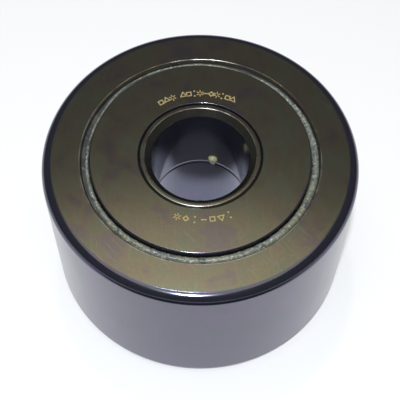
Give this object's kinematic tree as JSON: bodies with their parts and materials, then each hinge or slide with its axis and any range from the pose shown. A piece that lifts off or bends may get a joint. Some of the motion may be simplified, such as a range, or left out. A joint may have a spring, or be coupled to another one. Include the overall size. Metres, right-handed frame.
{
  "type": "yoke-type cam follower",
  "caption": "Thick cylindrical track roller that turns on a full complement of needles, with end plates, seals and a through bore for a stud or pin.",
  "frame": {"origin": "centre of the bore at mid-width", "axes": "+Z along the bore axis; the grease hole in the inner ring points 74 degrees from +X towards +Y"},
  "size_m": [0.1016, 0.1016, 0.0588],
  "materials": {
    "black_oxide_steel": "semi-gloss black oxide on ground steel",
    "black_oxide_ring": "semi-gloss black oxide on ground steel",
    "needle_steel": "ground bright steel",
    "seal_polymer": "matte grey-green seal smeared with grease",
    "grease": "wet olive-gold bearing grease",
    "etched_mark": "pale gold laser-etched lines"
  },
  "bodies": {
    "inner_assembly": {"inner_ring": "black_oxide_steel", "top_end_plate": "black_oxide_steel", "bottom_end_plate": "black_oxide_steel"},
    "outer_ring": {"outer_ring": "black_oxide_ring", "top_seal": "seal_polymer", "bottom_seal": "seal_polymer"},
    "needle_01": {"needle_01": "needle_steel"},
    "needle_02": {"needle_02": "needle_steel"},
    "needle_03": {"needle_03": "needle_steel"},
    "needle_04": {"needle_04": "needle_steel"},
    "needle_05": {"needle_05": "needle_steel"},
    "needle_06": {"needle_06": "needle_steel"},
    "needle_07": {"needle_07": "needle_steel"},
    "needle_08": {"needle_08": "needle_steel"},
    "needle_09": {"needle_09": "needle_steel"},
    "needle_10": {"needle_10": "needle_steel"},
    "needle_11": {"needle_11": "needle_steel"},
    "needle_12": {"needle_12": "needle_steel"},
    "needle_13": {"needle_13": "needle_steel"},
    "needle_14": {"needle_14": "needle_steel"},
    "needle_15": {"needle_15": "needle_steel"},
    "needle_16": {"needle_16": "needle_steel"},
    "needle_17": {"needle_17": "needle_steel"},
    "needle_18": {"needle_18": "needle_steel"},
    "needle_19": {"needle_19": "needle_steel"},
    "needle_20": {"needle_20": "needle_steel"},
    "needle_21": {"needle_21": "needle_steel"},
    "needle_22": {"needle_22": "needle_steel"},
    "needle_23": {"needle_23": "needle_steel"},
    "needle_24": {"needle_24": "needle_steel"},
    "needle_25": {"needle_25": "needle_steel"},
    "needle_26": {"needle_26": "needle_steel"},
    "needle_27": {"needle_27": "needle_steel"},
    "needle_28": {"needle_28": "needle_steel"}
  },
  "joints": [
    {"name": "outer_ring_spin", "type": "hinge", "parent": "inner_assembly", "child": "outer_ring", "pos_m": [0, 0, 0], "axis": [0, 0, 1], "continuous": true},
    {"name": "needle_orbit", "type": "hinge", "parent": "inner_assembly", "child": "needle_01", "pos_m": [0, 0, 0], "axis": [0, 0, 1], "continuous": true},
    {"name": "needle_02_spin", "type": "hinge", "parent": "needle_01", "child": "needle_02", "pos_m": [0.02786, 0.00636, 0], "axis": [0, 0, 1], "continuous": true},
    {"name": "needle_03_spin", "type": "hinge", "parent": "needle_01", "child": "needle_03", "pos_m": [0.02575, 0.0124, 0], "axis": [0, 0, 1], "continuous": true},
    {"name": "needle_04_spin", "type": "hinge", "parent": "needle_01", "child": "needle_04", "pos_m": [0.02234, 0.01782, 0], "axis": [0, 0, 1], "continuous": true},
    {"name": "needle_05_spin", "type": "hinge", "parent": "needle_01", "child": "needle_05", "pos_m": [0.01782, 0.02234, 0], "axis": [0, 0, 1], "continuous": true},
    {"name": "needle_06_spin", "type": "hinge", "parent": "needle_01", "child": "needle_06", "pos_m": [0.0124, 0.02575, 0], "axis": [0, 0, 1], "continuous": true},
    {"name": "needle_07_spin", "type": "hinge", "parent": "needle_01", "child": "needle_07", "pos_m": [0.00636, 0.02786, 0], "axis": [0, 0, 1], "continuous": true},
    {"name": "needle_08_spin", "type": "hinge", "parent": "needle_01", "child": "needle_08", "pos_m": [0, 0.02857, 0], "axis": [0, 0, 1], "continuous": true},
    {"name": "needle_09_spin", "type": "hinge", "parent": "needle_01", "child": "needle_09", "pos_m": [-0.00636, 0.02786, 0], "axis": [0, 0, 1], "continuous": true},
    {"name": "needle_10_spin", "type": "hinge", "parent": "needle_01", "child": "needle_10", "pos_m": [-0.0124, 0.02575, 0], "axis": [0, 0, 1], "continuous": true},
    {"name": "needle_11_spin", "type": "hinge", "parent": "needle_01", "child": "needle_11", "pos_m": [-0.01782, 0.02234, 0], "axis": [0, 0, 1], "continuous": true},
    {"name": "needle_12_spin", "type": "hinge", "parent": "needle_01", "child": "needle_12", "pos_m": [-0.02234, 0.01782, 0], "axis": [0, 0, 1], "continuous": true},
    {"name": "needle_13_spin", "type": "hinge", "parent": "needle_01", "child": "needle_13", "pos_m": [-0.02575, 0.0124, 0], "axis": [0, 0, 1], "continuous": true},
    {"name": "needle_14_spin", "type": "hinge", "parent": "needle_01", "child": "needle_14", "pos_m": [-0.02786, 0.00636, 0], "axis": [0, 0, 1], "continuous": true},
    {"name": "needle_15_spin", "type": "hinge", "parent": "needle_01", "child": "needle_15", "pos_m": [-0.02857, 0, 0], "axis": [0, 0, 1], "continuous": true},
    {"name": "needle_16_spin", "type": "hinge", "parent": "needle_01", "child": "needle_16", "pos_m": [-0.02786, -0.00636, 0], "axis": [0, 0, 1], "continuous": true},
    {"name": "needle_17_spin", "type": "hinge", "parent": "needle_01", "child": "needle_17", "pos_m": [-0.02575, -0.0124, 0], "axis": [0, 0, 1], "continuous": true},
    {"name": "needle_18_spin", "type": "hinge", "parent": "needle_01", "child": "needle_18", "pos_m": [-0.02234, -0.01782, 0], "axis": [0, 0, 1], "continuous": true},
    {"name": "needle_19_spin", "type": "hinge", "parent": "needle_01", "child": "needle_19", "pos_m": [-0.01782, -0.02234, 0], "axis": [0, 0, 1], "continuous": true},
    {"name": "needle_20_spin", "type": "hinge", "parent": "needle_01", "child": "needle_20", "pos_m": [-0.0124, -0.02575, 0], "axis": [0, 0, 1], "continuous": true},
    {"name": "needle_21_spin", "type": "hinge", "parent": "needle_01", "child": "needle_21", "pos_m": [-0.00636, -0.02786, 0], "axis": [0, 0, 1], "continuous": true},
    {"name": "needle_22_spin", "type": "hinge", "parent": "needle_01", "child": "needle_22", "pos_m": [0, -0.02857, 0], "axis": [0, 0, 1], "continuous": true},
    {"name": "needle_23_spin", "type": "hinge", "parent": "needle_01", "child": "needle_23", "pos_m": [0.00636, -0.02786, 0], "axis": [0, 0, 1], "continuous": true},
    {"name": "needle_24_spin", "type": "hinge", "parent": "needle_01", "child": "needle_24", "pos_m": [0.0124, -0.02575, 0], "axis": [0, 0, 1], "continuous": true},
    {"name": "needle_25_spin", "type": "hinge", "parent": "needle_01", "child": "needle_25", "pos_m": [0.01782, -0.02234, 0], "axis": [0, 0, 1], "continuous": true},
    {"name": "needle_26_spin", "type": "hinge", "parent": "needle_01", "child": "needle_26", "pos_m": [0.02234, -0.01782, 0], "axis": [0, 0, 1], "continuous": true},
    {"name": "needle_27_spin", "type": "hinge", "parent": "needle_01", "child": "needle_27", "pos_m": [0.02575, -0.0124, 0], "axis": [0, 0, 1], "continuous": true},
    {"name": "needle_28_spin", "type": "hinge", "parent": "needle_01", "child": "needle_28", "pos_m": [0.02786, -0.00636, 0], "axis": [0, 0, 1], "continuous": true}
  ],
  "couplings": [
    {"joint": "needle_orbit", "follows": "outer_ring_spin", "ratio": 0.55556},
    {"joint": "needle_02_spin", "follows": "outer_ring_spin", "ratio": 4.4444},
    {"joint": "needle_03_spin", "follows": "outer_ring_spin", "ratio": 4.4444},
    {"joint": "needle_04_spin", "follows": "outer_ring_spin", "ratio": 4.4444},
    {"joint": "needle_05_spin", "follows": "outer_ring_spin", "ratio": 4.4444},
    {"joint": "needle_06_spin", "follows": "outer_ring_spin", "ratio": 4.4444},
    {"joint": "needle_07_spin", "follows": "outer_ring_spin", "ratio": 4.4444},
    {"joint": "needle_08_spin", "follows": "outer_ring_spin", "ratio": 4.4444},
    {"joint": "needle_09_spin", "follows": "outer_ring_spin", "ratio": 4.4444},
    {"joint": "needle_10_spin", "follows": "outer_ring_spin", "ratio": 4.4444},
    {"joint": "needle_11_spin", "follows": "outer_ring_spin", "ratio": 4.4444},
    {"joint": "needle_12_spin", "follows": "outer_ring_spin", "ratio": 4.4444},
    {"joint": "needle_13_spin", "follows": "outer_ring_spin", "ratio": 4.4444},
    {"joint": "needle_14_spin", "follows": "outer_ring_spin", "ratio": 4.4444},
    {"joint": "needle_15_spin", "follows": "outer_ring_spin", "ratio": 4.4444},
    {"joint": "needle_16_spin", "follows": "outer_ring_spin", "ratio": 4.4444},
    {"joint": "needle_17_spin", "follows": "outer_ring_spin", "ratio": 4.4444},
    {"joint": "needle_18_spin", "follows": "outer_ring_spin", "ratio": 4.4444},
    {"joint": "needle_19_spin", "follows": "outer_ring_spin", "ratio": 4.4444},
    {"joint": "needle_20_spin", "follows": "outer_ring_spin", "ratio": 4.4444},
    {"joint": "needle_21_spin", "follows": "outer_ring_spin", "ratio": 4.4444},
    {"joint": "needle_22_spin", "follows": "outer_ring_spin", "ratio": 4.4444},
    {"joint": "needle_23_spin", "follows": "outer_ring_spin", "ratio": 4.4444},
    {"joint": "needle_24_spin", "follows": "outer_ring_spin", "ratio": 4.4444},
    {"joint": "needle_25_spin", "follows": "outer_ring_spin", "ratio": 4.4444},
    {"joint": "needle_26_spin", "follows": "outer_ring_spin", "ratio": 4.4444},
    {"joint": "needle_27_spin", "follows": "outer_ring_spin", "ratio": 4.4444},
    {"joint": "needle_28_spin", "follows": "outer_ring_spin", "ratio": 4.4444}
  ]
}
